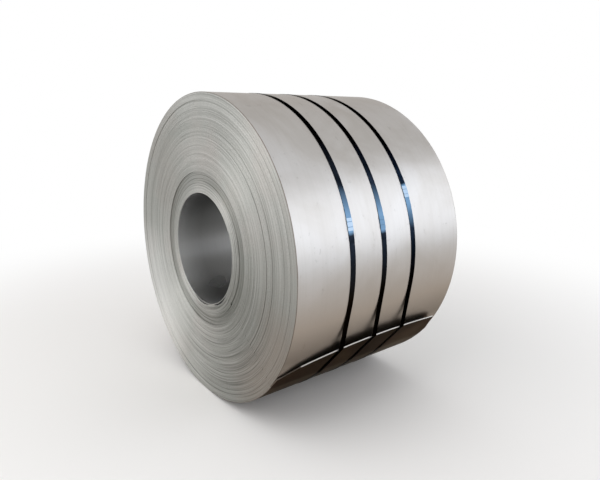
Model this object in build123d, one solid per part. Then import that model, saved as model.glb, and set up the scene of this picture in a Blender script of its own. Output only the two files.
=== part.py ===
from build123d import *
import os
from math import acos, atan2, cos, degrees, radians, sin, sqrt

# A slit coil of stainless steel strip lying on its side, with its bore along Y.
# Lengths are in millimetres. The bore's centre is the origin and +Z is up.
# Angles about the bore are in degrees from straight up, turning towards +X.

# Coil
outer_radius = 830.0
bore_radius = 305.0
width = 1100.0
strip_thickness = 5.0

# Tail: the strip's free end springs off the coil as a flat tongue
lift_off_angle = 130.0
tail_reach = 220.0
tail_root_gap = 0.6
front_side_reach = 75.0
front_corner_inset = 106.0
front_corner_reach = 141.0
front_shoulder_inset = 324.0
front_shoulder_reach = 197.0
rear_peak_inset = 360.0
rear_corner_inset = 78.0
rear_corner_reach = 194.0
tail_corner_round = 18.0

# Head: the strip's inner end, and the loose inner turn with a slit on each side
head_angle = 62.0
head_ramp = 25.0
head_gap = 0.8
head_swell = 3.6
pinch_angle = 165.0
pinch_land = 7.0
slit_span = 33.0
slit_gap = 8.0

# Ends: runs of turns that wandered sideways as the strip was wound, each as a
# number of turns and how far it stands back at the front. The strip keeps its
# width, so a run that stands back at the front stands out as far at the rear.
runs_from_bore = ((8, 1.0), (5, 3.0), (10, 8.0), (20, 2.0))
runs_from_skin = ((8, 0.0), (17, 3.0), (11, 4.5), (9, 2.5))
middle_set_back = 0.5

# Straps
strap_width = 32.0
strap_thickness = 1.0
strap_pitch = 208.0
middle_strap_shift = -22.0
strap_clearance = 0.4
lap_length = 150.0

# Seals: one crimped sleeve on the lapped ends of each strap
seal_length = 58.0
seal_wall = 1.0
seal_clearance = 0.2
seal_angle_front = 74.0
seal_angle_middle = 75.0
seal_angle_rear = 66.0
notch_pitch = 24.0
notch_length = 5.0
notch_depth = 1.6

strap_places = {
    "front": (middle_strap_shift - strap_pitch, seal_angle_front),
    "middle": (middle_strap_shift, seal_angle_middle),
    "rear": (middle_strap_shift + strap_pitch, seal_angle_rear),
}

# The skin is a spiral of two half circles. The second one is drawn about a
# centre half a strip thickness off the axis, so one turn drops one thickness.
half_drop = strip_thickness / 2
second_radius = outer_radius - half_drop
half_turn = 180
far_side_angle = lift_off_angle + half_turn
tail_root = sqrt(2 * second_radius * tail_root_gap)
end_y = width / 2


def polar(angle, radius):
    """Point at an angle and radius about the bore, as X and Z."""
    turn = radians(angle)
    return Vector(radius * sin(turn), radius * cos(turn))


tail_normal = polar(lift_off_angle, 1)
tail_run = polar(lift_off_angle - 90, 1)
second_centre = tail_normal * -half_drop


def skin_arc(centre, radius, start, stop):
    """Arc about a centre between two angles."""
    middle = (start + stop) / 2
    return ThreePointArc(
        centre + polar(start, radius),
        centre + polar(middle, radius),
        centre + polar(stop, radius),
    )


def front_half(offset):
    """Half circle under the coil, from the tail's root to the far side."""
    return skin_arc(Vector(0, 0), outer_radius + offset, lift_off_angle, far_side_angle)


def rest_of_turn(offset, stop):
    """Arc over the coil, from the far side to an angle short of a full turn."""
    return skin_arc(second_centre, second_radius + offset, far_side_angle, stop + 2 * half_turn)


def tail_point(reach, height):
    """Point on the tail: a reach from its root and a height over its top face."""
    return tail_run * reach + tail_normal * (outer_radius + height)


def roll_section():
    """The coil's outline, with a stub where the tail starts to lift."""
    root = second_centre + tail_run * tail_root
    root = root + tail_normal * sqrt(second_radius**2 - tail_root**2)
    from_centre = root - second_centre
    root_angle = degrees(atan2(from_centre.X, from_centre.Y))
    stub_top = tail_point(tail_root, 0)
    lower = front_half(0)
    upper = rest_of_turn(0, root_angle)
    edges = [
        Line(stub_top, lower @ 0),
        lower,
        upper,
        Line(upper @ 1, stub_top),
    ]
    return make_face(Plane.XZ * Wire(edges))


def slit_section(start, stop):
    """Crescent left open between the inner turn and the turn behind it."""
    floor = bore_radius + strip_thickness
    middle = (start + stop) / 2
    inner = skin_arc(Vector(0, 0), floor, start, stop)
    outer = ThreePointArc(inner @ 1, polar(middle, floor + slit_gap), inner @ 0)
    return make_face(Plane.XZ * Wire([inner, outer]))


def head_section():
    """Step at the strip's inner end, where the next turn climbs over it."""
    top = bore_radius + strip_thickness + head_gap
    inside = bore_radius - strip_thickness
    ramp_end = head_angle + head_ramp
    middle = head_angle + head_ramp / 2
    crest = ThreePointArc(
        polar(head_angle, top),
        polar(middle, bore_radius + head_swell),
        polar(ramp_end, bore_radius),
    )
    edges = [
        Line(polar(head_angle, inside), polar(head_angle, top)),
        crest,
        Line(polar(ramp_end, bore_radius), polar(ramp_end, inside)),
        Line(polar(ramp_end, inside), polar(head_angle, inside)),
    ]
    return make_face(Plane.XZ * Wire(edges))


def ring(inner, outer, start, stop):
    """Ring about the bore, between two radii and two places along it."""
    tube = Cylinder(outer, stop - start) - Cylinder(inner, stop - start)
    return Pos(0, (start + stop) / 2, 0) * Rot(90, 0, 0) * tube


def runs_of_turns():
    """Each run of turns as its inner radius, outer radius and set-back."""
    runs = []
    inner = bore_radius
    for turns, set_back in runs_from_bore:
        runs.append((inner, inner + turns * strip_thickness, set_back))
        inner += turns * strip_thickness
    outer = outer_radius
    for turns, set_back in runs_from_skin:
        runs.append((outer - turns * strip_thickness, outer, set_back))
        outer -= turns * strip_thickness
    runs.append((min(inner, outer), max(inner, outer), middle_set_back))
    return [run for run in runs if run[2] > 0]


def tail_outline():
    """The tongue's outline, as distances along Y and from the tail's root."""
    front_side = (-end_y, front_side_reach)
    front_corner = (-end_y + front_corner_inset, front_corner_reach)
    shoulder = (-end_y + front_shoulder_inset, front_shoulder_reach)
    peak = (end_y - rear_peak_inset, tail_reach)
    rear_corner = (end_y - rear_corner_inset, rear_corner_reach)
    rear_side = (end_y, tail_root)
    inside = tail_root / 2
    tip = Spline(front_corner, shoulder, peak, rear_corner)
    edges = [
        Line((-end_y, inside), front_side),
        Line(front_side, front_corner),
        tip,
        Line(rear_corner, rear_side),
        Line(rear_side, (end_y, inside)),
        Line((end_y, inside), (-end_y, inside)),
    ]
    face = make_face(Wire(edges))
    corners = face.vertices().sort_by_distance(Vector(*front_corner))[0:1]
    corners += face.vertices().sort_by_distance(Vector(*rear_corner))[0:1]
    return fillet(corners, tail_corner_round)


def tail_plane():
    """Plane on the tail's underside: X along the bore, Y up the tail."""
    under = tail_point(0, -strip_thickness)
    return Plane(
        origin=(under.X, 0, under.Y),
        x_dir=(0, 1, 0),
        z_dir=(tail_normal.X, 0, tail_normal.Y),
    )


def tail():
    """The flat tongue at the strip's free end."""
    return extrude(tail_plane() * tail_outline(), strip_thickness)


def coil():
    """The wound strip: one solid with its bore, its stepped ends and its tail."""
    body = extrude(roll_section(), end_y, both=True)
    for inner, outer, set_back in runs_of_turns():
        body -= ring(inner, outer, -end_y - set_back, -end_y + set_back)
        body += ring(inner, outer, end_y - set_back, end_y + set_back)
    body -= Rot(90, 0, 0) * Cylinder(bore_radius, 2 * width)
    slit_edge = pinch_land / 2
    near = slit_section(pinch_angle - slit_edge - slit_span, pinch_angle - slit_edge)
    far = slit_section(pinch_angle + slit_edge, pinch_angle + slit_edge + slit_span)
    for gap in (near, far, head_section()):
        body -= extrude(gap, width, both=True)
    return body + tail()


def tail_reach_at(y):
    """How far up the tail its edge lies under a strap."""
    under_strap = Pos(y, 0) * Rectangle(strap_width, 2 * outer_radius)
    return (tail_outline() & under_strap).bounding_box().max.Y


def strap_contour(reach, offset):
    """Closed line that a tight strap follows, at an offset from the coil."""
    tip = tail_point(reach, 0)
    span = tip - second_centre
    leave = degrees(atan2(span.X, span.Y)) - degrees(acos(second_radius / span.length))
    bend = skin_arc(tip, offset, leave, lift_off_angle)
    lower = front_half(offset)
    upper = rest_of_turn(offset, leave)
    edges = [
        lower,
        upper,
        Line(upper @ 1, bend @ 0),
        bend,
        Line(bend @ 1, lower @ 0),
    ]
    return make_face(Plane.XZ * Wire(edges))


def sector(angle, length, radius_in, radius_out, half_width):
    """Curved bar on the skin, centred on an angle, as long as given."""
    sweep = degrees(length / second_radius)
    bar = Plane.XY * Pos((radius_in + radius_out) / 2, 0) * Rectangle(
        radius_out - radius_in, 2 * half_width
    )
    turned = revolve(bar, Axis.Y, sweep)
    placed = Rot(0, angle - 90 - sweep / 2, 0) * turned
    return Pos(second_centre.X, 0, second_centre.Y) * placed


def strap(y, seal_angle):
    """One steel strap drawn tight round the coil, its ends lapped at the seal."""
    reach = tail_reach_at(y)
    outer = strap_contour(reach, strap_clearance + strap_thickness)
    inner = strap_contour(reach, strap_clearance)
    ring = extrude(outer - inner, strap_width / 2, both=True)
    top = second_radius + strap_clearance + strap_thickness
    lap = sector(seal_angle, lap_length, top, top + strap_thickness, strap_width / 2)
    return Pos(0, y, 0) * (ring + lap)


def seal(y, seal_angle):
    """Folded sleeve on the lapped ends, crimped by notches in both edges."""
    low = second_radius + strap_clearance
    ceiling = low + 2 * strap_thickness + seal_clearance
    inside = strap_width / 2 + seal_clearance
    outside = inside + seal_wall
    shell = sector(seal_angle, seal_length, low, ceiling + seal_wall, outside)
    room = sector(seal_angle, 2 * seal_length, low - seal_wall, ceiling, inside)
    sleeve = shell - room
    for step in (-notch_pitch / 2, notch_pitch / 2):
        place = seal_angle + degrees(step / second_radius)
        for side in (-1, 1):
            bite = sector(place, notch_length, low - seal_wall, low + notch_depth, seal_wall * 2)
            sleeve -= Pos(0, side * outside, 0) * bite
    return Pos(0, y, 0) * sleeve


os.makedirs("parts", exist_ok=True)
export_step(coil(), "parts/coil.step")
for name, (y, seal_angle) in strap_places.items():
    export_step(strap(y, seal_angle), f"parts/strap_{name}.step")
    export_step(seal(y, seal_angle), f"parts/seal_{name}.step")
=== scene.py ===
import math
import random

import bpy
from mathutils import Matrix, Vector


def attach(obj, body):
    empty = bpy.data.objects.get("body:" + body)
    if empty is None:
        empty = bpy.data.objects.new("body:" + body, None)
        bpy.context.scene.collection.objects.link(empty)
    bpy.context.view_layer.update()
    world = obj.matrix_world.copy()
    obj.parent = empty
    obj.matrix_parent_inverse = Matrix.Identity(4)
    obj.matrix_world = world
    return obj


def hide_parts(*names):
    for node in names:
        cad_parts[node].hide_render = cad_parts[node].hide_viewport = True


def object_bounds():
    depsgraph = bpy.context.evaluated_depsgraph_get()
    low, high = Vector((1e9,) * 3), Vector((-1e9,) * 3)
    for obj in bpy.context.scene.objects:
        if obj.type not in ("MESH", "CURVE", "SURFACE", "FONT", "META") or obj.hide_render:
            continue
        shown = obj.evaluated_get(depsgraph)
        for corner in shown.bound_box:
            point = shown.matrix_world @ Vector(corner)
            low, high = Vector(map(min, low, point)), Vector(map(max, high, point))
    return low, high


# A coil of stainless strip on its side, bore along Y, held by three straps.
# Metres. Angles about the bore run from straight up, turning towards +X, in
# degrees here and in turns inside the materials.

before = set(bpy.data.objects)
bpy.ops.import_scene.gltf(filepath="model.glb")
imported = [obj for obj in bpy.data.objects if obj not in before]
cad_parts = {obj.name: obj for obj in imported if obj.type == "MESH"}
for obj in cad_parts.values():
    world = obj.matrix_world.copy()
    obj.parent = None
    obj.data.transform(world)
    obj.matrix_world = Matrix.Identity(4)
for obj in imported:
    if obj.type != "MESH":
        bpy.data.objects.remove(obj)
cad_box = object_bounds()
random.seed(11)

# ---- Sizes shared with the solid model -------------------------------------

OUTER = 0.830
BORE = 0.305
WIDTH = 1.100
STRIP = 0.005
TURNS = 105
LIFT_OFF = 130.0
HALF_DROP = STRIP / 2
SECOND = OUTER - HALF_DROP
FRONT = -WIDTH / 2
REAR = WIDTH / 2

# The tail's edge: place along the bore, and reach from where the tail lifts off
TAIL_EDGE = (
    (FRONT, 0.075),
    (-0.444, 0.141),
    (-0.226, 0.197),
    (0.190, 0.220),
    (0.472, 0.194),
    (REAR, 0.0315),
)
FRONT_CORNER = TAIL_EDGE[1][0]
REAR_CORNER = TAIL_EDGE[4][0]

# Runs of turns: outer radius, and how far the run stands back at the front
RUNS = (
    (0.345, 0.0010),
    (0.370, 0.0030),
    (0.420, 0.0080),
    (0.520, 0.0020),
    (0.605, 0.0005),
    (0.650, 0.0025),
    (0.705, 0.0045),
    (0.790, 0.0030),
    (0.830, 0.0),
)

# The strip's inner end, and the slit on each side of the pinched inner turn
HEAD = 62.0
HEAD_RAMP = 25.0
HEAD_SWELL = 0.0036
PINCH = 165.0
PINCH_LAND = 7.0
SLIT_SPAN = 33.0
SLIT_GAP = 0.008
SLIT_STARTS = (PINCH - PINCH_LAND / 2 - SLIT_SPAN, PINCH + PINCH_LAND / 2)

STRAP_WIDTH = 0.032
STRAP_THICK = 0.001
STRAP_GAP = 0.0004
STRAP_PLACES = {"front": -0.230, "middle": -0.022, "rear": 0.186}
SEAL_ANGLES = {"front": 74.0, "middle": 75.0, "rear": 66.0}
LAP = 0.150
SEAL_LENGTH = 0.058
SEAL_WALL = 0.001
SEAL_GAP = 0.0002
NOTCH_PITCH = 0.024

# ---- Sizes of the detail that only the scene has ----------------------------

AROUND = 240            # steps round the coil
SKIN_STEPS = 72         # steps along the skin
TAIL_STEPS = 14         # steps up the tail
CORNER_STEPS = (-0.008, -0.003, 0.0, 0.003, 0.008)  # extra steps at its corners
EDGE = 0.0011           # how far the skin's rims are eased back
COIL_SHARP = 35         # degrees past which a fold of the surface stays sharp
STRAP_SHARP = 30

END_GROOVE = 0.0010     # depth of the groove between two turns
END_BEVEL = 0.0005      # width of the slope into the groove
BEVEL_SHARE = 0.3       # most of a turn's edge that one slope takes
WANDER = 0.0006         # sideways wander of single turns
WAVES = ((0.45, 0.83, 0.7), (0.35, 2.17, 0.91))  # share, rate and phase
JITTER_SHARE = 0.55
STEADY_TURNS = 2        # outermost turns, which lie flush with the rim
SHIFT_FADE = 8          # turns over which the bore's round shape dies away
SLIT_FADE = 16          # turns over which a slit's bulge dies away
OPEN_SLIT = 0.0006      # a slit wider than this is not bridged at the end
SLIT_STEPS = 30
BORE_FRONT = FRONT + 0.0012
BORE_REAR = REAR + 0.0008

STRAP_SOFT = 0.00025    # softening of a strap's edges
STRAP_SHOULDER = 0.0004
LAP_FADE = 0.25         # degrees over which the lap's end slopes down
SEAL_SOFT = 0.0006
SEAL_STEPS = 60
NOTCH_HALF = 0.0038     # half the length of a crimp
NOTCH_BITE = 0.0016     # how deep it bites
NOTCH_SINK = 0.09       # share of the bite by which the top sinks too
# The dark crease is painted shade in the crimp
CRIMP_SHADE_HALF = 0.0014    # half the length of the dark crease in a crimp

JITTER = [random.uniform(-1, 1) for _ in range(TURNS + 2)]


def unit(angle):
    """Direction at an angle about the bore, as X and Z."""
    a = math.radians(angle)
    return Vector((math.sin(a), math.cos(a)))


NORMAL = unit(LIFT_OFF)
RUN = unit(LIFT_OFF - 90)
CENTRE2 = NORMAL * -HALF_DROP


def skin_radius(angle):
    """Radius of the coil's skin, for angles from lift-off to a turn later."""
    if angle <= LIFT_OFF + 180:
        return OUTER
    along = CENTRE2.dot(unit(angle))
    return along + math.sqrt(SECOND ** 2 - CENTRE2.length_squared + along ** 2)


def tail_point(reach, height):
    """Point on the tail: a reach up it and a height over its outer face."""
    return RUN * reach + NORMAL * (OUTER + height)


def on_line(start, stop, y):
    """Reach on a straight piece of the tail's edge."""
    (y0, reach0), (y1, reach1) = start, stop
    return reach0 + (reach1 - reach0) * (y - y0) / (y1 - y0)


def reach_at(y):
    """How far up the tail its edge lies at a place along the bore."""
    if y <= FRONT_CORNER:
        return on_line(TAIL_EDGE[0], TAIL_EDGE[1], y)
    if y >= REAR_CORNER:
        return on_line(TAIL_EDGE[4], TAIL_EDGE[5], y)
    tip = TAIL_EDGE[1:5]
    total = 0.0
    for i, (y_here, term) in enumerate(tip):
        for j, (y_other, _) in enumerate(tip):
            if i != j:
                term *= (y - y_other) / (y_here - y_other)
        total += term
    return total


def mesh_object(name, verts, faces, material, sharp_angle=None):
    """Mesh in the scene, smooth up to a sharp angle, or flat without one."""
    mesh = bpy.data.meshes.new(name)
    mesh.from_pydata(verts, [], faces)
    mesh.validate()
    mesh.update()
    for poly in mesh.polygons:
        poly.use_smooth = sharp_angle is not None
    obj = bpy.data.objects.new(name, mesh)
    bpy.context.scene.collection.objects.link(obj)
    obj.data.materials.append(material)
    if sharp_angle is not None:
        mesh.set_sharp_from_angle(angle=math.radians(sharp_angle))
    return obj


def grid_faces(rows, cols, close_rows=False, close_cols=False, flip=False):
    """Quads between rows of points, closed either way round if asked."""
    faces = []
    for i in range(rows if close_rows else rows - 1):
        for j in range(cols if close_cols else cols - 1):
            a = i * cols + j
            b = i * cols + (j + 1) % cols
            c = ((i + 1) % rows) * cols + (j + 1) % cols
            d = ((i + 1) % rows) * cols + j
            faces.append((a, d, c, b) if flip else (a, b, c, d))
    return faces


# ---- Materials -------------------------------------------------------------

class Tree:
    """Small helper that adds and joins shader nodes."""

    def __init__(self, name):
        self.mat = bpy.data.materials.new(name)
        self.mat.use_nodes = True
        self.nt = self.mat.node_tree
        self.bsdf = self.nt.nodes["Principled BSDF"]

    def add(self, kind, **props):
        node = self.nt.nodes.new(kind)
        for key, value in props.items():
            setattr(node, key, value)
        return node

    def link(self, a, b):
        self.nt.links.new(a, b)

    def put(self, socket, value):
        """Set a socket to a number or colour, or link it."""
        if isinstance(value, (int, float)):
            socket.default_value = value
        elif isinstance(value, tuple):
            socket.default_value = (*value, 1.0)
        else:
            self.link(value, socket)

    def feed(self, name, value):
        """Set or link an input of the surface."""
        self.put(self.bsdf.inputs[name], value)

    def math(self, op, *values):
        node = self.add("ShaderNodeMath", operation=op)
        for socket, value in zip(node.inputs, values):
            self.put(socket, value)
        return node.outputs[0]

    def product(self, first, *others):
        for value in others:
            first = self.math("MULTIPLY", first, value)
        return first

    def gap(self, a, b):
        """How far two values lie apart."""
        return self.math("ABSOLUTE", self.math("SUBTRACT", a, b))

    def noise(self, vector, scale, detail, rough, dist=0.0):
        node = self.add("ShaderNodeTexNoise")
        node.inputs["Scale"].default_value = scale
        node.inputs["Detail"].default_value = detail
        node.inputs["Roughness"].default_value = rough
        node.inputs["Distortion"].default_value = dist
        self.link(vector, node.inputs["Vector"])
        return node.outputs[0]

    def rolled(self, angle, spread, across, detail, rough):
        """Seamless noise drawn out round the bore, more so for a small spread."""
        turn = self.math("MULTIPLY", angle, math.tau)
        place = self.add("ShaderNodeCombineXYZ")
        self.link(self.product(self.math("COSINE", turn), spread), place.inputs[0])
        self.link(self.product(self.math("SINE", turn), spread), place.inputs[1])
        self.link(across, place.inputs[2])
        return self.noise(place.outputs[0], 1.0, detail, rough)

    def ramp(self, fac, stops):
        node = self.add("ShaderNodeValToRGB")
        ramp = node.color_ramp
        while len(ramp.elements) < len(stops):
            ramp.elements.new(0.5)
        for element, (position, colour) in zip(ramp.elements, stops):
            element.position = position
            element.color = (*colour, 1.0)
        self.link(fac, node.inputs[0])
        return node.outputs[0]

    def remap(self, value, lo, hi, to_lo, to_hi):
        node = self.add("ShaderNodeMapRange", clamp=True)
        for i, v in enumerate((lo, hi, to_lo, to_hi)):
            node.inputs[i + 1].default_value = v
        self.link(value, node.inputs[0])
        return node.outputs[0]

    def fade(self, value, start, full, weight=1.0):
        """0 at the start, growing to the weight where it is full."""
        return self.remap(value, start, full, 0.0, weight)

    def mix(self, fac, a, b):
        node = self.add("ShaderNodeMix", data_type="RGBA")
        for socket, value in zip((node.inputs[0], node.inputs[6], node.inputs[7]), (fac, a, b)):
            self.put(socket, value)
        return node.outputs[2]

    def layer(self, base, mask, start, full, weight, colour):
        """Lay a colour over the base where a mask grows from start to full."""
        return self.mix(self.fade(mask, start, full, weight), base, colour)

    def place(self):
        """Place on the object, in metres."""
        return self.add("ShaderNodeTexCoord").outputs["Object"]

    def polar(self):
        """Object place, and as radius, angle in turns and way along the bore."""
        co = self.place()
        sep = self.add("ShaderNodeSeparateXYZ")
        self.link(co, sep.inputs[0])
        x, y, z = sep.outputs
        squares = self.math("ADD", self.product(x, x), self.product(z, z))
        radius = self.math("SQRT", squares)
        angle = self.product(self.math("ARCTAN2", x, z), 1 / math.tau)
        return co, radius, angle, y

    def towards(self, co, direction):
        """How far a place lies from the bore's centre in a direction."""
        sep = self.add("ShaderNodeSeparateXYZ")
        self.link(co, sep.inputs[0])
        x, _, z = sep.outputs
        return self.math("ADD", self.product(x, direction.x), self.product(z, direction.y))

    def facing(self, co, radius, angle):
        """1 at an angle about the bore, and less away from it."""
        return self.math("DIVIDE", self.towards(co, unit(angle)), radius)

    def rings(self, radius, places, core, edge):
        """Thin rings: 1 on each radius given, falling to 0 beside it."""
        total = None
        for place in places:
            close = self.fade(self.gap(radius, place), edge, core)
            total = close if total is None else self.math("MAXIMUM", total, close)
        return total

    def turn_number(self, co, radius):
        """Which turn a place on the coil's end lies in, as a running number."""
        along = self.math("DIVIDE", self.towards(co, NORMAL), radius)
        second_half = self.math("GREATER_THAN", self.towards(co, RUN), 0.0)
        drop = self.product(self.math("ADD", along, 1.0), HALF_DROP, second_half)
        inside = self.math("SUBTRACT", OUTER, self.math("ADD", radius, drop))
        return self.math("SUBTRACT", TURNS, self.math("DIVIDE", inside, STRIP))

    def bump(self, height, strength, distance, normal=None):
        node = self.add("ShaderNodeBump")
        node.inputs["Strength"].default_value = strength
        node.inputs["Distance"].default_value = distance
        self.link(height, node.inputs["Height"])
        if normal is not None:
            self.link(normal, node.inputs["Normal"])
        return node.outputs[0]

    def brush(self, strength):
        """Stretch the shine across lines that run round the bore."""
        self.feed("Anisotropic", strength)
        self.feed("Anisotropic Rotation", 0.25)
        tangent = self.add("ShaderNodeTangent", direction_type="RADIAL", axis="Y")
        self.feed("Tangent", tangent.outputs[0])


# Bands of the skin on its way down, in turns from the top: start and full
# The first band is a painted reflection: a warm tint of the brown ground over the lower side
GROUND_TINT_BAND = (0.235, 0.290)
# The next two give painted shade on the skin just above the tail's edge
WEDGE_SHADE_BAND = (0.290, 0.320)
WEDGE_SHADE_BAND_END = (0.340, 0.325)
# Painted shade on the underside
UNDERSIDE = (0.352, 0.372)
# The skin's brown rims and the tail's outer face, in metres: start and full
SKIN_RIM = (WIDTH / 2 - 0.0040, WIDTH / 2 - 0.0015)
# Painted shade on the tail's outer face
TAIL_FACE = (OUTER - 0.0022, OUTER - 0.0006)


def skin_material():
    """Satin stainless: rolling streaks round the coil, clouds and faint scuffs, with painted
    reflection and painted shade on its lower side.
    """
    steel = (0.465, 0.450, 0.437)
    dark_steel = (0.412, 0.394, 0.375)
    pale_steel = (0.508, 0.498, 0.492)
    painted_ground_tint = (0.40, 0.335, 0.275)
    painted_shade = (0.16, 0.135, 0.112)
    rim_brown = (0.10, 0.072, 0.052)
    painted_underside_shade = (0.060, 0.048, 0.037)
    streak_grey = (0.30, 0.282, 0.258)
    scuff_grey = (0.21, 0.195, 0.18)
    nick_grey = (0.27, 0.26, 0.25)
    steel_sheen = (0.66, 0.62, 0.58)
    underside_shade_sheen = (0.20, 0.17, 0.14)

    t = Tree("strip_skin")
    co, _, angle, y = t.polar()
    streaks = t.rolled(angle, 0.35, t.product(y, 60.0), 6.0, 0.6)
    fine = t.rolled(angle, 2.4, t.product(y, 420.0), 4.0, 0.65)
    scuffs = t.rolled(angle, 9.0, t.product(y, 26.0), 7.0, 0.7)
    clouds = t.noise(co, 2.6, 5.0, 0.55, 0.6)
    specks = t.noise(co, 34.0, 5.0, 0.7)
    waves = t.noise(co, 3.2, 2.0, 0.5)

    base = t.ramp(clouds, ((0.34, dark_steel), (0.50, steel), (0.66, pale_steel)))
    base = t.layer(base, streaks, 0.46, 0.72, 0.12, streak_grey)
    base = t.layer(base, scuffs, 0.63, 0.74, 0.45, scuff_grey)
    nicks = t.product(t.fade(specks, 0.62, 0.68, 0.5), t.fade(clouds, 0.50, 0.56))
    base = t.mix(nicks, base, nick_grey)
    below = t.math("ABSOLUTE", angle)
    # Painted reflection: a warm tint of the brown ground over the lower side
    base = t.layer(base, below, *GROUND_TINT_BAND, 0.85, painted_ground_tint)
    # Painted shade on the skin just above the tail's edge
    wedge_shade_mask = t.product(t.fade(below, *WEDGE_SHADE_BAND, 0.50), t.fade(below, *WEDGE_SHADE_BAND_END))
    base = t.mix(wedge_shade_mask, base, painted_shade)
    rim = t.fade(t.math("ABSOLUTE", y), *SKIN_RIM, 0.8)
    rim = t.product(rim, t.remap(scuffs, 0.40, 0.56, 0.35, 1.0))
    base = t.mix(rim, base, rim_brown)
    # Painted shade on the underside and the tail's outer face, which also dims its sheen
    under = t.fade(below, *UNDERSIDE, 0.85)
    tail = t.fade(t.towards(co, NORMAL), *TAIL_FACE, 0.95)
    underside_shade_mask = t.product(t.math("MAXIMUM", under, tail), t.remap(clouds, 0.3, 0.7, 0.85, 1.0))
    base = t.mix(underside_shade_mask, base, painted_underside_shade)

    t.feed("Base Color", base)
    t.feed("Metallic", 1.0)
    t.feed("Anisotropic", 0.25)
    t.feed("Specular Tint", t.mix(underside_shade_mask, steel_sheen, underside_shade_sheen))
    rough = t.remap(clouds, 0.3, 0.75, 0.36, 0.44)
    rough = t.math("ADD", rough, t.remap(fine, 0.3, 0.7, -0.012, 0.012))
    rough = t.math("ADD", rough, t.fade(scuffs, 0.60, 0.75, 0.12))
    t.feed("Roughness", rough)
    t.feed("Normal", t.bump(waves, 0.22, 0.004, t.bump(fine, 0.04, 0.0005)))
    return t.mat


# Angles of the ends' two sectors of painted shade and one of painted highlight, standing in for
# the brushed shine, and of the side where the painted step shadows are strongest
DARK_SECTOR_LOW = 128.0
DARK_SECTOR_HIGH = 302.0
BRIGHT_SECTOR = 236.0
STEP_SHADOW_SIDE = 160.0
# Radii of the dark rings round the bore, and of the dark zone that they lie in
RINGS = (0.331, 0.346, 0.357, 0.382, 0.401)
DARK_ZONE = 0.392
DARK_ZONE_SPAN = (0.040, 0.014)


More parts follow.
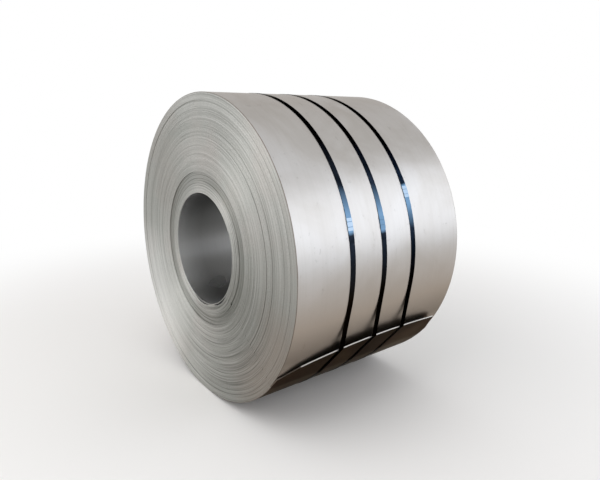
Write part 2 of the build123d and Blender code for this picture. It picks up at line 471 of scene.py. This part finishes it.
def end_material():
    """Slit edges of the turns: each turn its own grey, with painted dark and bright sectors of
    the brushed shine and broken strokes of painted step shadow and highlight.
    """
    steel = (0.555, 0.555, 0.528)
    dark_steel = (0.50, 0.505, 0.475)
    pale_steel = (0.61, 0.61, 0.582)
    bright = (0.86, 0.85, 0.82)
    painted_highlight_grey = (0.82, 0.82, 0.80)
    shade = (0.25, 0.255, 0.23)
    zone_grey = (0.14, 0.145, 0.125)
    ring_grey = (0.12, 0.12, 0.105)
    step_shadow_grey = (0.10, 0.10, 0.088)
    seam_grey = (0.14, 0.14, 0.125)
    lower_right_brown = (0.35, 0.285, 0.235)
    rim_brown = (0.13, 0.098, 0.072)

    t = Tree("strip_ends")
    co, radius, angle, _ = t.polar()
    turn = t.turn_number(co, radius)
    own_place = t.product(t.math("FLOOR", turn), 5.37)
    per_turn = t.rolled(angle, 0.55, own_place, 2.0, 0.6)
    groups = t.rolled(angle, 0.42, t.product(radius, 130.0), 4.0, 0.75)
    fine = t.rolled(angle, 0.9, t.product(radius, 330.0), 3.0, 0.7)
    broad = t.rolled(angle, 0.45, t.product(radius, 11.0), 3.0, 0.6)
    strokes = t.rolled(angle, 1.6, t.product(radius, 260.0), 1.0, 0.5)
    speckle = t.noise(co, 240.0, 3.0, 0.75)
    patches = t.noise(co, 3.0, 4.0, 0.6)
    toward_dark_sector_low = t.facing(co, radius, DARK_SECTOR_LOW)
    toward_dark_sector_high = t.facing(co, radius, DARK_SECTOR_HIGH)
    toward_bright_sector = t.facing(co, radius, BRIGHT_SECTOR)

    base = t.ramp(broad, ((0.30, dark_steel), (0.5, steel), (0.70, pale_steel)))
    layers = (
        # mask, where it starts and is full, weight, colour
        (groups, 0.50, 0.70, 0.16, shade),
        (groups, 0.42, 0.24, 0.10, (0.80, 0.80, 0.77)),
        (per_turn, 0.48, 0.66, 0.28, (0.20, 0.205, 0.18)),
        (per_turn, 0.46, 0.30, 0.18, bright),
        (fine, 0.46, 0.66, 0.30, (0.22, 0.225, 0.20)),
        (patches, 0.46, 0.66, 0.45, (0.55, 0.505, 0.475)),
        (speckle, 0.50, 0.70, 0.62, (0.22, 0.22, 0.20)),
        # painted shade: the two dark sectors of the brushed shine
        (toward_dark_sector_low, 0.50, 0.96, 0.60, (0.21, 0.212, 0.19)),
        (toward_dark_sector_high, 0.66, 1.0, 0.38, shade),
    )
    for mask, start, full, weight, colour in layers:
        base = t.layer(base, mask, start, full, weight, colour)
    # Painted highlight: the bright sector of the brushed shine
    painted_highlight = t.product(t.fade(toward_bright_sector, 0.80, 0.99, 0.45), t.fade(radius, 0.45, 0.70))
    base = t.mix(painted_highlight, base, painted_highlight_grey)
    # Browner towards the lower right, at the larger radii
    lower_right_browning = t.product(t.fade(toward_dark_sector_low, 0.86, 0.98, 0.5), t.fade(radius, 0.56, 0.74))
    base = t.mix(lower_right_browning, base, lower_right_brown)

    # Dark zone and rings round the bore
    zone = t.fade(t.gap(radius, DARK_ZONE), *DARK_ZONE_SPAN, 0.42)
    zone = t.product(zone, t.remap(groups, 0.38, 0.60, 0.6, 1.0))
    base = t.mix(zone, base, zone_grey)
    rings = t.rings(radius, RINGS, 0.0006, 0.0026)
    rings = t.product(rings, t.remap(groups, 0.35, 0.58, 0.15, 0.70))
    base = t.mix(rings, base, ring_grey)

    # Broken strokes of painted shadow and painted highlight where single turns stand off,
    # strongest below the bore
    sector = t.remap(t.facing(co, radius, STEP_SHADOW_SIDE), 0.70, 0.95, 0.20, 0.85)
    painted_step_shadows = t.product(t.fade(strokes, 0.55, 0.65, 0.62), sector)
    base = t.mix(painted_step_shadows, base, step_shadow_grey)
    painted_step_highlights = t.product(t.fade(strokes, 0.42, 0.34, 0.22), sector)
    base = t.mix(painted_step_highlights, base, bright)

    # Seams between the turns, and the outermost turn's brown rim
    off_middle = t.gap(t.math("FRACT", turn), 0.5)
    seam = t.product(t.fade(off_middle, 0.40, 0.48, 0.55), t.fade(radius, 0.35, 0.40))
    base = t.mix(seam, base, seam_grey)
    base = t.layer(base, turn, TURNS - 0.75, TURNS - 0.35, 0.75, rim_brown)

    t.feed("Base Color", base)
    t.feed("Metallic", 1.0)
    t.brush(0.8)
    t.feed("Roughness", t.remap(per_turn, 0.3, 0.7, 0.41, 0.47))
    t.feed("Normal", t.bump(speckle, 0.25, 0.0008))
    return t.mat


# Painted shade deep inside the bore, in metres from its middle, with less of it
# in a painted reflection band along each side, at an angle and over a span in turns
DEEP = (0.54, 0.40)
REFLECTION_BAND_SIDE = 104.0 / 360
REFLECTION_BAND_SPAN = (26.0 / 360, 6.0 / 360)


def bore_material():
    """Inside of the eye: painted light at its mouths and painted shade deep inside, less of it
    in a painted reflection band on each side.
    """
    steel = (0.70, 0.70, 0.70)
    dark_steel = (0.66, 0.66, 0.66)
    pale_steel = (0.74, 0.74, 0.745)
    streak_grey = (0.50, 0.495, 0.48)
    mark_grey = (0.34, 0.33, 0.32)
    painted_mouth_light = (0.98, 0.98, 0.975)
    painted_deep_shade = (0.43, 0.43, 0.425)

    t = Tree("strip_bore")
    co, _, angle, y = t.polar()
    clouds = t.noise(co, 2.2, 3.0, 0.5)
    streaks = t.rolled(angle, 0.25, t.product(y, 70.0), 5.0, 0.6)
    marks = t.rolled(angle, 3.5, t.product(y, 14.0), 4.0, 0.6)

    base = t.ramp(clouds, ((0.35, dark_steel), (0.5, steel), (0.65, pale_steel)))
    base = t.layer(base, streaks, 0.50, 0.75, 0.20, streak_grey)
    base = t.layer(base, marks, 0.66, 0.74, 0.35, mark_grey)
    deep = t.fade(t.math("ABSOLUTE", y), *DEEP)
    reflection_band_mask = t.fade(t.gap(t.math("ABSOLUTE", angle), REFLECTION_BAND_SIDE), *REFLECTION_BAND_SPAN, 0.60)
    # Painted light at both mouths
    base = t.mix(t.math("SUBTRACT", 1.0, deep), base, painted_mouth_light)
    # Painted shade deep inside, with less in the painted reflection bands
    deep_shade_mask = t.product(deep, 0.85, t.math("SUBTRACT", 1.0, reflection_band_mask))
    base = t.mix(deep_shade_mask, base, painted_deep_shade)

    t.feed("Base Color", base)
    t.feed("Metallic", 1.0)
    t.brush(0.45)
    t.feed("Roughness", t.remap(clouds, 0.35, 0.65, 0.27, 0.31))
    t.feed("Normal", t.bump(streaks, 0.08, 0.0008))
    return t.mat


# Where a strap is blue and not black, a painted reflection of the bright band, in degrees from
# the top: start and full
BLUE_ABOVE = (38.0, 58.0)
BLUE_BELOW = (98.0, 84.0)
# Where its painted glint lies, in degrees past its seal: start and full, on each side
GLINT_ABOVE_SEAL = ((-13.0, -3.0), (3.4, 2.2))
GLINT_BELOW_SEAL = ((-3.2, -2.4), (12.5, 4.0))


def strap_material(name, dark, light, painted_highlight, seal_angle, glint_span=GLINT_ABOVE_SEAL):
    """Blued, waxed strapping: near black, with a painted reflection in blue round the bright
    band and a painted steel-blue glint beside the seal.
    """
    black = (0.013, 0.011, 0.009)
    black_sheen = (0.10, 0.09, 0.07)
    blue_sheen = (0.12, 0.16, 0.20)

    t = Tree(name)
    co, _, angle, y = t.polar()
    lines = t.rolled(angle, 0.5, t.product(y, 700.0), 3.0, 0.6)
    clouds = t.noise(co, 14.0, 3.0, 0.6)

    base = t.mix(t.fade(clouds, 0.35, 0.7), dark, light)
    base = t.layer(base, lines, 0.55, 0.75, 0.35, tuple(c * 2.0 for c in light))
    degrees = t.product(angle, 360.0)
    # Painted reflection: blue with a bluish sheen only where the strap mirrors the bright band,
    # black with a warm sheen above and below
    painted_blue_band = t.product(t.fade(degrees, *BLUE_ABOVE), t.fade(degrees, *BLUE_BELOW))
    base = t.mix(painted_blue_band, black, base)
    # Painted glint beside the seal
    past = t.math("SUBTRACT", degrees, seal_angle)
    past = t.math("ADD", past, t.remap(clouds, 0.3, 0.7, -0.4, 0.4))
    base = t.mix(t.product(t.fade(past, *glint_span[0]), t.fade(past, *glint_span[1])), base, painted_highlight)

    t.feed("Base Color", base)
    t.feed("Metallic", 1.0)
    t.feed("Specular Tint", t.mix(painted_blue_band, black_sheen, blue_sheen))
    t.feed("Roughness", t.remap(clouds, 0.3, 0.7, 0.14, 0.24))
    t.feed("Normal", t.bump(lines, 0.05, 0.0004))
    return t.mat


def edge_material(name, pale, torn):
    """Sheared edge of the tail, with a fine tear along it."""
    t = Tree(name)
    tear = t.noise(t.place(), 180.0, 3.0, 0.6)
    t.feed("Base Color", t.mix(t.fade(tear, 0.4, 0.7, 0.4), pale, torn))
    t.feed("Metallic", 1.0)
    t.feed("Roughness", t.remap(tear, 0.3, 0.7, 0.35, 0.5))
    return t.mat


SKIN = skin_material()
ENDS = end_material()
INSIDE = bore_material()
# Painted highlight on the tail's sheared edge, and painted shadow on its piece before the front
# corner
BRIGHT_EDGE = edge_material("edge_bright", (0.60, 0.59, 0.57), (0.42, 0.41, 0.39))
SHADED_EDGE = edge_material("edge_painted_shadow", (0.085, 0.074, 0.062), (0.05, 0.043, 0.036))

# Dark and light tone of each metal, and the tone of each piece's painted glint
BLUED = ((0.007, 0.009, 0.013), (0.014, 0.018, 0.027))
SEAL_BLUE = ((0.045, 0.075, 0.11), (0.10, 0.15, 0.20))
SEAL_STEEL = ((0.13, 0.17, 0.21), (0.20, 0.25, 0.30))
STRAP_GLINT = (0.095, 0.165, 0.250)
# Span of each strap's painted glint
STRAP_GLINT_SPANS = {
    "front": GLINT_ABOVE_SEAL,
    "middle": GLINT_ABOVE_SEAL,
    "rear": GLINT_BELOW_SEAL,
}
SEAL_TONES = {
    "front": (*SEAL_STEEL, (0.25, 0.32, 0.40)),
    "middle": (*SEAL_BLUE, (0.092, 0.158, 0.235)),
    "rear": (*SEAL_BLUE, (0.24, 0.31, 0.39)),
}
# Glint tone of the painted shade in each seal's crimps
CRIMP_SHADE_GLINT = {
    "front": (0.085, 0.150, 0.230),
    "middle": (0.065, 0.115, 0.175),
    "rear": (0.13, 0.19, 0.26),
}


# ---- Coil ------------------------------------------------------------------

def wander(turn):
    """How far one turn stands off its run, along the bore."""
    value = sum(height * math.sin(turn * rate + phase) for height, rate, phase in WAVES)
    here, part = int(turn), turn % 1
    value += JITTER_SHARE * JITTER[here % len(JITTER)] * (1 - part)
    value += JITTER_SHARE * JITTER[(here + 1) % len(JITTER)] * part
    return value * WANDER


def set_back(radius):
    """How far the run of turns at a radius stands back at the front."""
    for outer, depth in RUNS:
        if radius < outer:
            return depth
    return 0.0


def arch(fraction):
    """Rises from 0 to 1 and falls back to 0 over a span."""
    return 4 * fraction * (1 - fraction)


def head_radius(angle):
    """Radius of the bore's wall near the strip's inner end."""
    fraction = (angle - HEAD) / HEAD_RAMP
    if not 0 <= fraction <= 1:
        return BORE
    return BORE + STRIP * (1 - fraction) + (HEAD_SWELL - STRIP / 2) * arch(fraction)


def slit_bulge(angle):
    """Gap between the inner turn and the next one."""
    if angle > HEAD + 360:
        angle -= 360
    for start in SLIT_STARTS:
        fraction = (angle - start) / SLIT_SPAN
        if 0 < fraction < 1:
            return SLIT_GAP * arch(fraction)
    return 0.0


def line_radius(line, angle):
    """Radius of the line between two turns, for a wound angle from lift-off."""
    skin = skin_radius(angle)
    past_head = angle > HEAD + 360
    if past_head:
        shift = head_radius(angle - 360) - (skin - STRIP * (TURNS - 1))
    else:
        shift = BORE - (skin - STRIP * TURNS)
    weight = 1.0 if line <= 1 else math.exp(-(line - 1) / SHIFT_FADE)
    behind = line - (2 if past_head else 1)
    bulge = slit_bulge(angle) * max(0.0, 1 - behind / SLIT_FADE) if behind >= 0 else 0.0
    return skin - STRIP * (TURNS - line) + shift * weight + bulge


def turn_edge(turn, angle, face_y, outward):
    """Groove and land of one turn's edge, as three radii with their places."""
    inner_turn = 1 if angle > HEAD + 360 else 0
    low = line_radius(turn, angle)
    high = line_radius(turn + 1, angle)
    if turn == inner_turn:
        high -= slit_bulge(angle)
    elif turn < inner_turn:
        high = low
    y = face_y
    if turn < TURNS - STEADY_TURNS:
        y += set_back(BORE + STRIP * (turn + 0.5))
        y += wander(TURNS - turn - (angle - LIFT_OFF) / 360)
    bevel = min(END_BEVEL, (high - low) * BEVEL_SHARE)
    return (low, y - outward * END_GROOVE), (low + bevel, y), (high - bevel, y)


def build_end(name, face_y, outward):
    """One end of the coil: the edges of all the turns, wound as a spiral."""
    verts, faces = [], []
    per_turn = 3
    cols = TURNS * per_turn
    angles = [LIFT_OFF + 360 * i / AROUND for i in range(AROUND + 1)]
    for angle in angles:
        u = unit(angle)
        for turn in range(TURNS):
            for r, y in turn_edge(turn, angle, face_y, outward):
                verts.append((u.x * r, y, u.y * r))
    rim = len(verts)
    for angle in angles:
        p = unit(angle) * skin_radius(angle)
        verts.append((p.x, face_y - outward * EDGE, p.y))
    for i in range(AROUND):
        middle = (angles[i] + angles[i + 1]) / 2
        for c in range(cols):
            # No inner turn past the strip's inner end, and no bridge over a slit
            if c < per_turn and middle > HEAD + 360:
                continue
            if c == per_turn - 1 and slit_bulge(middle) > OPEN_SLIT:
                continue
            a, d = i * cols + c, (i + 1) * cols + c
            b, e = (rim + i, rim + i + 1) if c == cols - 1 else (a + 1, d + 1)
            faces.append((a, d, e, b) if outward > 0 else (a, b, e, d))
    return mesh_object(name, verts, faces, ENDS)


def build_skin():
    """The outer turn with its tail: a closed loop of strip at each place along Y."""
    span = WIDTH - 2 * EDGE
    places = [FRONT + EDGE + span * i / SKIN_STEPS for i in range(SKIN_STEPS + 1)]
    places += [mark + step for mark in (FRONT_CORNER, REAR_CORNER) for step in CORNER_STEPS]
    places = sorted(set(round(y, 6) for y in places))
    cols = 2 * TAIL_STEPS + AROUND + 1
    verts = []
    for y in places:
        reach = reach_at(y)
        row = [tail_point(reach * (1 - i / TAIL_STEPS), 0) for i in range(TAIL_STEPS)]
        for i in range(AROUND + 1):
            angle = LIFT_OFF + 360 * i / AROUND
            row.append(unit(angle) * skin_radius(angle))
        row += [tail_point(reach * i / TAIL_STEPS, -STRIP) for i in range(1, TAIL_STEPS + 1)]
        verts += [(p.x, y, p.y) for p in row]
    rows = len(places)
    faces = grid_faces(rows, cols, close_cols=True)
    for row_start, flip in ((0, False), ((rows - 1) * cols, True)):
        for k in range(TAIL_STEPS):
            top = row_start + k
            bottom = row_start + cols - 1 - k
            quad = (top, top + 1, bottom - 1, bottom)
            faces.append(quad if flip else quad[::-1])
    skin = mesh_object("coil_skin", verts, faces, SKIN, COIL_SHARP)
    skin.data.materials.append(BRIGHT_EDGE)
    skin.data.materials.append(SHADED_EDGE)
    # The last face of each row lies on the tail's sheared edge, with a painted highlight past
    # the front corner and painted shadow before it
    tip_faces = {i * cols + cols - 1 for i in range(rows - 1)}
    for poly in skin.data.polygons:
        if poly.index in tip_faces:
            poly.material_index = 1 if poly.center.y > FRONT_CORNER else 2
    return skin


def build_bore():
    """Wall of the eye, from the strip's inner end round to it again."""
    places = (
        BORE_FRONT, FRONT + 0.02, FRONT + 0.1, -0.3, 0.0,
        0.3, REAR - 0.1, REAR - 0.01, BORE_REAR,
    )
    verts = []
    for y in places:
        for i in range(AROUND + 1):
            angle = HEAD + 360 * i / AROUND
            p = unit(angle) * head_radius(angle)
            verts.append((p.x, y, p.y))
    faces = grid_faces(len(places), AROUND + 1, flip=True)
    return mesh_object("coil_bore", verts, faces, INSIDE, COIL_SHARP)


def build_head_and_slits():
    """End face of the strip's inner end, and the walls of the two slits."""
    verts, faces = [], []
    for y in (BORE_FRONT, BORE_REAR):
        for r in (BORE, BORE + STRIP):
            p = unit(HEAD) * r
            verts.append((p.x, y, p.y))
    faces.append((0, 2, 3, 1))
    for start in SLIT_STARTS:
        for wall in (0, 1):
            first = len(verts)
            for y in (BORE_FRONT, BORE_REAR):
                for i in range(SLIT_STEPS + 1):
                    angle = start + SLIT_SPAN * i / SLIT_STEPS
                    p = unit(angle) * (BORE + STRIP + wall * slit_bulge(angle))
                    verts.append((p.x, y, p.y))
            for i in range(first, first + SLIT_STEPS):
                quad = (i, i + 1, i + SLIT_STEPS + 2, i + SLIT_STEPS + 1)
                faces.append(quad if wall else quad[::-1])
    return mesh_object("coil_head_and_slits", verts, faces, INSIDE, COIL_SHARP)


coil_pieces = (
    build_skin(),
    build_end("coil_end_front", FRONT, -1),
    build_end("coil_end_rear", REAR, 1),
    build_bore(),
    build_head_and_slits(),
)
for piece in coil_pieces:
    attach(piece, "root")
    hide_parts("coil")


# ---- Straps and seals ------------------------------------------------------

def strap_reach(y):
    """Greatest reach of the tail's edge under a strap."""
    return max(reach_at(y + STRAP_WIDTH * k / 8) for k in range(-4, 5))


def strap_line(reach):
    """Points of a tight strap's line with normals, starting under the coil."""
    tip = tail_point(reach, 0)
    span = tip - CENTRE2
    bearing = math.degrees(math.atan2(span.x, span.y))
    leave = bearing - math.degrees(math.acos(SECOND / span.length))
    far_side, stop = LIFT_OFF + 180, leave + 360
    under_steps, over_steps, free_steps, bend_steps, tail_steps = 240, 220, 13, 6, 12
    points = []
    for i in range(under_steps + 1):
        angle = LIFT_OFF + 180 * i / under_steps
        points.append((unit(angle) * (OUTER + STRAP_GAP), unit(angle), angle))
    for i in range(1, over_steps + 1):
        angle = far_side + (stop - far_side) * i / over_steps
        points.append((CENTRE2 + unit(angle) * (SECOND + STRAP_GAP), unit(angle), angle))
    skin_end = points[-1][0]
    bend_start = tip + unit(leave) * STRAP_GAP
    for i in range(1, free_steps):
        points.append((skin_end.lerp(bend_start, i / free_steps), unit(leave), stop))
    for i in range(bend_steps + 1):
        angle = leave + (LIFT_OFF - leave) * i / bend_steps
        points.append((tip + unit(angle) * STRAP_GAP, unit(angle), stop))
    bend_end = tip + NORMAL * STRAP_GAP
    root = tail_point(0, STRAP_GAP)
    for i in range(1, tail_steps):
        points.append((bend_end.lerp(root, i / tail_steps), NORMAL, stop))
    return points


def strap_rise(angle, seal_angle):
    """Extra height of the lapped second layer at a wound angle."""
    half = math.degrees(LAP / 2 / SECOND)
    past_end = abs(angle - 360 - seal_angle) - half
    return STRAP_THICK * min(1.0, max(0.0, 1 - past_end / LAP_FADE))


def build_strap(name, y, seal_angle):
    """One strap, with its second layer lapped under the seal."""
    tones = (*BLUED, STRAP_GLINT)
    metal = strap_material(f"strapping_{name}", *tones, seal_angle, STRAP_GLINT_SPANS[name])
    half = STRAP_WIDTH / 2
    soft = STRAP_SOFT
    shoulder = half - STRAP_SHOULDER
    line = strap_line(strap_reach(y))
    verts = []
    for point, normal, angle in line:
        top = STRAP_THICK + strap_rise(angle, seal_angle)
        section = (
            (-half, soft), (-half, top - soft), (-shoulder, top), (shoulder, top),
            (half, top - soft), (half, soft), (half - soft, 0.0), (-half + soft, 0.0),
        )
        for side, height in section:
            p = point + normal * height
            verts.append((p.x, y + side, p.y))
    faces = grid_faces(len(line), len(section), close_rows=True, close_cols=True)
    return mesh_object(f"strapping_{name}", verts, faces, metal, STRAP_SHARP)


def notch_bite(along):
    """How deep a crimp bites into the seal's edges at a place along it."""
    off = abs(abs(along) - NOTCH_PITCH / 2) / NOTCH_HALF
    return NOTCH_BITE * (1 - off * off) if off < 1 else 0.0


def seal_section(bite):
    """Folded sleeve across the strap: its outside, then its inside."""
    low = STRAP_GAP
    ceiling = low + 2 * STRAP_THICK + SEAL_GAP
    top = ceiling + SEAL_WALL
    inside = STRAP_WIDTH / 2 + SEAL_GAP
    outside = inside + SEAL_WALL
    side = outside - bite
    corner = (side - SEAL_SOFT, top - bite * NOTCH_SINK)
    return (
        (-inside, low), (-side, low), (-side, top - SEAL_SOFT), (-corner[0], corner[1]),
        (-outside / 2, top), (0.0, top), (outside / 2, top),
        corner, (side, top - SEAL_SOFT), (side, low), (inside, low),
        (inside, ceiling), (-inside, ceiling),
    )


def build_seal(name, y, seal_angle):
    """Folded sleeve with two pairs of crimps bitten into its edges."""
    metal = strap_material(f"seal_{name}", *SEAL_TONES[name], seal_angle)
    # A darker copy of the metal: painted shade in the crimps
    crimp_shade = strap_material(f"crease_{name}", *BLUED, CRIMP_SHADE_GLINT[name], seal_angle)
    verts = []
    for i in range(SEAL_STEPS + 1):
        along = SEAL_LENGTH * (i / SEAL_STEPS - 0.5)
        u = unit(seal_angle + math.degrees(along / SECOND))
        section = seal_section(notch_bite(along))
        for side, height in section:
            p = CENTRE2 + u * (SECOND + height)
            verts.append((p.x, y + side, p.y))
    cols = len(section)
    faces = grid_faces(SEAL_STEPS + 1, cols, close_cols=True)
    # The roof and its eased edges get painted shade, a darker copy of the metal, where a crimp
    # crosses them
    crimp_shaded = set()
    for i in range(SEAL_STEPS):
        along = SEAL_LENGTH * ((i + 0.5) / SEAL_STEPS - 0.5)
        if abs(abs(along) - NOTCH_PITCH / 2) < CRIMP_SHADE_HALF:
            crimp_shaded.update(range(i * cols + 2, i * cols + 8))
    # Each end is closed by the left leg, the roof and the right leg
    legs_and_roof = ((0, 1, 2, 3, 12), (12, 3, 4, 5, 6, 7, 11), (11, 7, 8, 9, 10))
    for first, flip in ((0, True), (SEAL_STEPS * cols, False)):
        for part in legs_and_roof:
            ring = tuple(first + k for k in part)
            faces.append(ring[::-1] if flip else ring)
    sleeve = mesh_object(f"sleeve_{name}", verts, faces, metal, STRAP_SHARP)
    sleeve.data.materials.append(crimp_shade)
    for poly in sleeve.data.polygons:
        if poly.index in crimp_shaded:
            poly.material_index = 1
    return sleeve


for name, y in STRAP_PLACES.items():
    strap = build_strap(name, y, SEAL_ANGLES[name])
    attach(strap, "root")
    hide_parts(f"strap_{name}")
    sleeve = build_seal(name, y, SEAL_ANGLES[name])
    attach(sleeve, "root")
    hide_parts(f"seal_{name}")


# ---- Stage, light and camera -----------------------------------------------

FLOOR_Z = cad_box[0][2]
FLOOR_HALF = 40.0
FLOOR_COLOUR = (0.90, 0.885, 0.87)
SHADOW_REACH = 1.6
WHITE_FROM = 4.5
WORLD_LIGHT = 0.75


def stage_material():
    """Pale floor that keeps the shadow and turns plain white further out."""
    t = Tree("floor_paint")
    t.feed("Base Color", FLOOR_COLOUR)
    t.feed("Roughness", 0.9)
    length = t.add("ShaderNodeVectorMath", operation="LENGTH")
    t.link(t.place(), length.inputs[0])
    far = t.add("ShaderNodeMapRange", interpolation_type="SMOOTHERSTEP")
    far.inputs[1].default_value = SHADOW_REACH
    far.inputs[2].default_value = WHITE_FROM
    t.link(length.outputs["Value"], far.inputs[0])
    path = t.add("ShaderNodeLightPath")
    seen = t.math("MAXIMUM", path.outputs["Is Camera Ray"], path.outputs["Is Glossy Ray"])
    white = t.add("ShaderNodeEmission")
    mix = t.add("ShaderNodeMixShader")
    t.link(t.product(seen, far.outputs[0]), mix.inputs[0])
    t.link(t.bsdf.outputs[0], mix.inputs[1])
    t.link(white.outputs[0], mix.inputs[2])
    t.link(mix.outputs[0], t.nt.nodes["Material Output"].inputs["Surface"])
    return t.mat


signs = ((-1, -1), (1, -1), (1, 1), (-1, 1))
corners = [(x * FLOOR_HALF, y * FLOOR_HALF, FLOOR_Z) for x, y in signs]
floor = mesh_object("floor", corners, [(0, 1, 2, 3)], stage_material())

# White where it is seen or mirrored, and a little dimmer as light
world = bpy.data.worlds.new("studio")
bpy.context.scene.world = world
world.use_nodes = True
nt = world.node_tree
background = nt.nodes["Background"]
background.inputs["Color"].default_value = (1.0, 1.0, 1.0, 1.0)
path = nt.nodes.new("ShaderNodeLightPath")
seen = nt.nodes.new("ShaderNodeMath")
seen.operation = "MAXIMUM"
nt.links.new(path.outputs["Is Camera Ray"], seen.inputs[0])
nt.links.new(path.outputs["Is Glossy Ray"], seen.inputs[1])
level = nt.nodes.new("ShaderNodeMapRange")
level.inputs[3].default_value = WORLD_LIGHT
level.inputs[4].default_value = 1.0
nt.links.new(seen.outputs[0], level.inputs[0])
nt.links.new(level.outputs[0], background.inputs["Strength"])


def area(name, place, target, width, height, power, colour=(1, 1, 1)):
    """Rectangular lamp at a place, turned to its target."""
    data = bpy.data.lights.new(name, "AREA")
    data.shape = "RECTANGLE"
    data.size = width
    data.size_y = height
    data.energy = power
    data.color = colour
    lamp = bpy.data.objects.new(name, data)
    bpy.context.scene.collection.objects.link(lamp)
    lamp.location = place
    lamp.rotation_euler = (Vector(target) - Vector(place)).to_track_quat("-Z", "Y").to_euler()


area("key", (0.2, -4.2, 4.4), (0, 0, 0), width=5.5, height=5.0, power=125)
# Bluish, and mirrored as the bright band down the skin
area("band", (6.7, 5.3, 2.5), (0.8, 0.0, 0.2), width=9.0, height=5.9, power=236,
     colour=(0.85, 0.91, 1.0))

# The camera was fitted to the photograph: its focal length and centre in the
# photograph's pixels, the bore's direction and the camera's place
PHOTO_WIDTH, PHOTO_HEIGHT = 600, 480
FOCAL_PX = 502.4
CENTRE_PX = (271.9, 221.1)
SENSOR = 36.0
BORE_IN_CAMERA = (0.8098, -0.1168, 0.5749)
CAMERA_PLACE = Vector((2.8538 * OUTER, FRONT - 1.5057 * OUTER, 0.8327 * OUTER))

camera_data = bpy.data.cameras.new("camera")
camera = bpy.data.objects.new("camera", camera_data)
bpy.context.scene.collection.objects.link(camera)
camera_data.sensor_width = SENSOR
camera_data.sensor_fit = "HORIZONTAL"
camera_data.lens = FOCAL_PX * SENSOR / PHOTO_WIDTH
camera_data.shift_x = (PHOTO_WIDTH / 2 - CENTRE_PX[0]) / PHOTO_WIDTH
camera_data.shift_y = (CENTRE_PX[1] - PHOTO_HEIGHT / 2) / PHOTO_WIDTH
camera_data.clip_end = 200
axis = Vector(BORE_IN_CAMERA).normalized()
tilt = math.atan2(-axis.y, axis.z)
up = Vector((0, -math.cos(tilt), -math.sin(tilt)))
side = axis.cross(up)
right = Vector((side.x, axis.x, up.x))
down = Vector((side.y, axis.y, up.y))
ahead = Vector((side.z, axis.z, up.z))
camera.matrix_world = Matrix((
    (right.x, -down.x, -ahead.x, CAMERA_PLACE.x),
    (right.y, -down.y, -ahead.y, CAMERA_PLACE.y),
    (right.z, -down.z, -ahead.z, CAMERA_PLACE.z),
    (0, 0, 0, 1),
))
bpy.context.scene.camera = camera
bpy.context.scene.view_settings.view_transform = "Standard"
